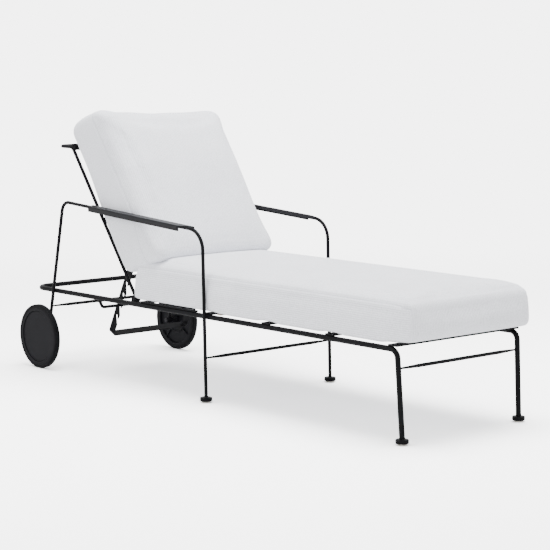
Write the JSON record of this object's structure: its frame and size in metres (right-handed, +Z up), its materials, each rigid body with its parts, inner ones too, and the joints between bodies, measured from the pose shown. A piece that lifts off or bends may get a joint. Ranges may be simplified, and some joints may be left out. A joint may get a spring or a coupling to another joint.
{
  "type": "reclining sun lounger",
  "caption": "Outdoor reclining lounger on a slim bent-tube frame, with arm pads, two wheels, thick loose cushions and a notched rack that props the back.",
  "frame": {"origin": "floor level under the middle of the overall box", "axes": "+X to the sitter's left, +Y toward the wheels and head end, -Y toward the feet, +Z up"},
  "size_m": [0.703, 2.098, 1.0136],
  "materials": {
    "coated_steel": "satin black powder coat",
    "bolt_steel": "blackened, satin",
    "pad_plastic": "satin moulded",
    "wheel_plastic": "matt moulded",
    "tyre_rubber": "matt",
    "foot_plastic": "satin moulded",
    "glide_felt": "matt",
    "cushion_fabric": "woven",
    "tab_fabric": "woven"
  },
  "bodies": {
    "seat_frame": {"arm_frame_left": "coated_steel", "arm_frame_right": "coated_steel", "arm_pad_left": "pad_plastic", "arm_pad_right": "pad_plastic", "axle_bolt_left": "bolt_steel", "axle_bolt_right": "bolt_steel", "axle_nut_left": "bolt_steel", "axle_nut_right": "bolt_steel", "axle_washer_left": "bolt_steel", "axle_washer_right": "bolt_steel", "catch_rod": "coated_steel", "cushion_tab": "tab_fabric", "foot_front_left": "foot_plastic", "foot_front_right": "foot_plastic", "foot_mid_left": "foot_plastic", "foot_mid_right": "foot_plastic", "front_stretcher": "coated_steel", "glide_front_left": "glide_felt", "glide_front_right": "glide_felt", "glide_mid_left": "glide_felt", "glide_mid_right": "glide_felt", "hinge_bar_left": "coated_steel", "hinge_bar_right": "coated_steel", "mid_stretcher": "coated_steel", "pivot_bolt_left": "bolt_steel", "pivot_bolt_right": "bolt_steel", "pivot_lug_left": "coated_steel", "pivot_lug_right": "coated_steel", "rear_stretcher": "coated_steel", "seat_cushion": "cushion_fabric", "seat_rail_left": "coated_steel", "seat_rail_right": "coated_steel", "seat_rear_bow": "coated_steel", "seat_slat_1": "coated_steel", "seat_slat_2": "coated_steel", "seat_slat_3": "coated_steel", "seat_slat_4": "coated_steel", "seat_slat_5": "coated_steel"},
    "back": {"back_cushion": "cushion_fabric", "back_frame": "coated_steel", "back_slat_1": "coated_steel", "back_slat_2": "coated_steel", "back_slat_3": "coated_steel", "back_slat_4": "coated_steel", "rack_collar_left_inner": "coated_steel", "rack_collar_left_outer": "coated_steel", "rack_collar_right_inner": "coated_steel", "rack_collar_right_outer": "coated_steel", "rack_pivot_rod": "coated_steel"},
    "rack": {"rack_strap": "coated_steel"},
    "wheel_left": {"wheel_cap_left": "wheel_plastic", "wheel_core_left": "wheel_plastic", "wheel_tyre_left": "tyre_rubber"},
    "wheel_right": {"wheel_cap_right": "wheel_plastic", "wheel_core_right": "wheel_plastic", "wheel_tyre_right": "tyre_rubber"}
  },
  "joints": [
    {"name": "back_recline", "type": "hinge", "parent": "seat_frame", "child": "back", "pos_m": [0, 0.402, 0.316], "axis": [1, 0, 0], "range_deg": [-53.5, 0]},
    {"name": "rack_swing", "type": "hinge", "parent": "back", "child": "rack", "pos_m": [0, 0.51493, 0.46633], "axis": [1, 0, 0], "range_deg": [0, 94]},
    {"name": "wheel_left_spin", "type": "hinge", "parent": "seat_frame", "child": "wheel_left", "pos_m": [0.3395, 0.924, 0.125], "axis": [1, 0, 0], "continuous": true},
    {"name": "wheel_right_spin", "type": "hinge", "parent": "seat_frame", "child": "wheel_right", "pos_m": [-0.3395, 0.924, 0.125], "axis": [1, 0, 0], "continuous": true}
  ],
  "couplings": [
    {"joint": "rack_swing", "follows": "back_recline", "ratio": -1.75}
  ]
}
